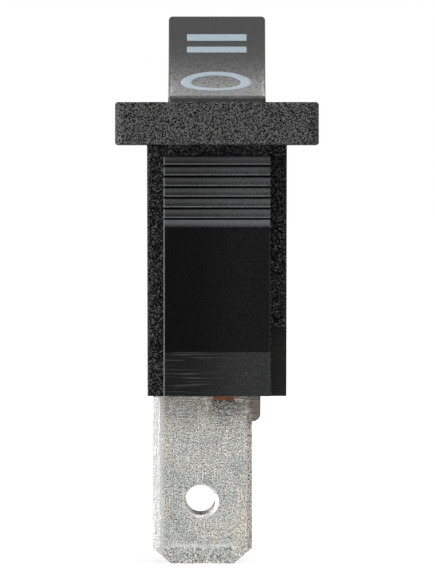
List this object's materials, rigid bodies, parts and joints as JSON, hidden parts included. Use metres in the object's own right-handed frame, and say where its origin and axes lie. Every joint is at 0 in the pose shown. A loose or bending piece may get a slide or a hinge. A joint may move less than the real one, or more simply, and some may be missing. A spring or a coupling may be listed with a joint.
{
  "type": "rocker switch",
  "caption": "Slim snap-in three-position rocker switch, on-off-on, with a hollowed rocker, stepped snap tongues and blade terminals.",
  "frame": {"origin": "centre of the panel cut-out, in the plane of the bezel's underside", "axes": "+Z out of the panel, Y along the bezel's long side with the pressed end of the rocker (position I) at -Y, X across the width"},
  "size_m": [0.013, 0.0282, 0.0349],
  "materials": {
    "case_plastic": "black, spark-eroded texture",
    "rocker_plastic": "black, fine matte, pale blue printed signs",
    "base_plastic": "black, smooth",
    "plunger_plastic": "natural",
    "spring_steel": "drawn wire",
    "tinned_brass": "tin plated, bare on sheared edges",
    "contact_copper": "copper strip",
    "contact_silver": "silver alloy"
  },
  "bodies": {
    "case": {"housing": "case_plastic", "terminal_base": "base_plastic", "terminal_near": "tinned_brass", "terminal_common": "tinned_brass", "terminal_far": "tinned_brass", "fixed_contact_near": "contact_silver", "fixed_contact_far": "contact_silver"},
    "key": {"rocker": "rocker_plastic", "plunger_spring": "spring_steel"},
    "pin": {"plunger": "plunger_plastic"},
    "bridge": {"contact_bridge": "contact_copper", "moving_contact_near": "contact_silver", "moving_contact_far": "contact_silver"}
  },
  "joints": [
    {"name": "rocker_tilt", "type": "hinge", "parent": "case", "child": "key", "pos_m": [0, 0, 0.00137], "axis": [-1, 0, 0], "range_deg": [0, 36]},
    {"name": "contact_tilt", "type": "hinge", "parent": "case", "child": "bridge", "pos_m": [0, 0, -0.00974], "axis": [1, 0, 0], "range_deg": [0, 16]},
    {"name": "plunger_slide", "type": "slide", "parent": "key", "child": "pin", "axis": [0, -0.309, 0.9511], "range_m": [0, 0.0006], "stiffness_N_per_m": 800, "springref_m": -0.002, "deforming": ["plunger_spring"]}
  ],
  "couplings": [
    {"joint": "contact_tilt", "follows": "rocker_tilt", "ratio": 0.44444}
  ]
}
